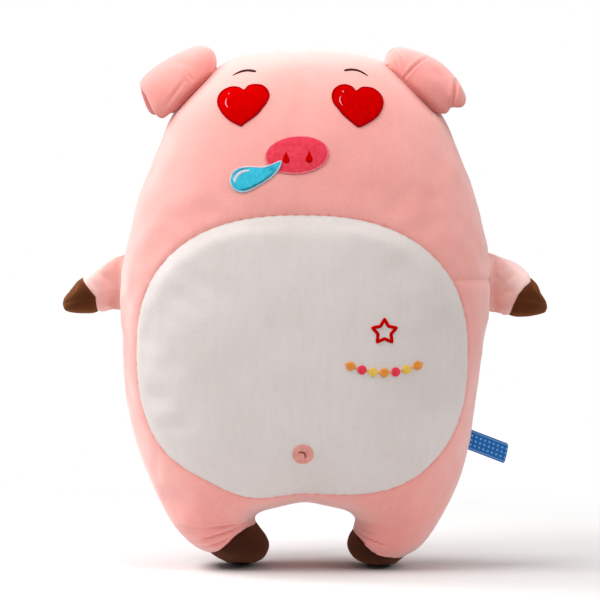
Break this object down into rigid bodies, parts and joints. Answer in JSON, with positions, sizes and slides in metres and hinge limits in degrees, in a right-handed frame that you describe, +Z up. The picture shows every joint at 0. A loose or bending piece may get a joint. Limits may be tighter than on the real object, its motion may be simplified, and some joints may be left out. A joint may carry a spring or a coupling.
{
  "type": "plush pig",
  "caption": "Plump standing plush pig with a cream belly, heart eyes, folded ears, short arms, a side label and a curly tail.",
  "frame": {"origin": "on the floor, midway between the feet and under the middle of the body's depth", "axes": "+Z up, the face looks along -Y, +X towards the side label"},
  "size_m": [0.4658, 0.2207, 0.5009],
  "materials": {
    "pink_plush": "short soft plush",
    "cream_plush": "short soft plush",
    "brown_plush": "short soft plush",
    "fibre": "loose polyester fibre",
    "red_thread": "satin-stitched embroidery thread",
    "rose_thread": "satin-stitched embroidery thread",
    "blue_thread": "satin-stitched embroidery thread",
    "dark_thread": "satin-stitched embroidery thread",
    "orange_thread": "satin-stitched embroidery thread",
    "label_satin": "woven satin ribbon"
  },
  "bodies": {
    "torso": {"torso_stuffing": "fibre", "leg_stuffing_left": "fibre", "leg_stuffing_right": "fibre", "face_panel": "pink_plush", "belly_panel": "cream_plush", "lower_front_left": "pink_plush", "lower_front_right": "pink_plush", "back_panel_left": "pink_plush", "back_panel_right": "pink_plush", "foot_hoof_front_left": "brown_plush", "foot_hoof_front_right": "brown_plush", "foot_hoof_back_left": "brown_plush", "foot_hoof_back_right": "brown_plush", "eye_left": "red_thread", "eye_right": "red_thread", "eyebrow_left": "dark_thread", "eyebrow_right": "dark_thread", "snout": "rose_thread", "nostril_left": "red_thread", "nostril_right": "red_thread", "drop": "blue_thread", "navel": "rose_thread", "garland": "orange_thread", "star": "red_thread"},
    "arm_left": {"arm_stuffing_left": "fibre", "arm_top_left": "pink_plush", "arm_bottom_left": "pink_plush", "arm_hoof_top_left": "brown_plush", "arm_hoof_bottom_left": "brown_plush"},
    "arm_right": {"arm_stuffing_right": "fibre", "arm_top_right": "pink_plush", "arm_bottom_right": "pink_plush", "arm_hoof_top_right": "brown_plush", "arm_hoof_bottom_right": "brown_plush"},
    "ear_left": {"ear_outer_left": "pink_plush", "ear_inner_left": "pink_plush", "ear_wadding_left": "fibre"},
    "ear_right": {"ear_outer_right": "pink_plush", "ear_inner_right": "pink_plush", "ear_wadding_right": "fibre"},
    "label": {"side_label": "label_satin"},
    "tail": {"tail": "pink_plush"}
  },
  "joints": [
    {"name": "arm_left_swing", "type": "hinge", "parent": "torso", "child": "arm_left", "pos_m": [-0.178, 0, 0.2715], "axis": [0.0417, 0, 0.9991], "range_deg": [-30, 30], "stiffness_Nm_per_rad": 0.01},
    {"name": "arm_right_swing", "type": "hinge", "parent": "torso", "child": "arm_right", "pos_m": [0.178, 0, 0.2715], "axis": [0.0417, 0, -0.9991], "range_deg": [-30, 30], "stiffness_Nm_per_rad": 0.01},
    {"name": "ear_left_fold", "type": "hinge", "parent": "torso", "child": "ear_left", "pos_m": [-0.1094, 0.0031, 0.4559], "axis": [-0.7131, 0, -0.7011], "range_deg": [0, 35], "stiffness_Nm_per_rad": 0.01},
    {"name": "ear_right_fold", "type": "hinge", "parent": "torso", "child": "ear_right", "pos_m": [0.1094, 0.0031, 0.4559], "axis": [-0.7131, 0, 0.7011], "range_deg": [0, 35], "stiffness_Nm_per_rad": 0.01},
    {"name": "label_flap", "type": "hinge", "parent": "torso", "child": "label", "pos_m": [0.16039, 0, 0.1213], "axis": [0.2397, 0, 0.9708], "range_deg": [-75, 75], "stiffness_Nm_per_rad": 0.002},
    {"name": "tail_wag", "type": "hinge", "parent": "torso", "child": "tail", "pos_m": [0, 0.08085, 0.1236], "axis": [0, 0, 1], "range_deg": [-22, 22], "stiffness_Nm_per_rad": 0.005}
  ]
}
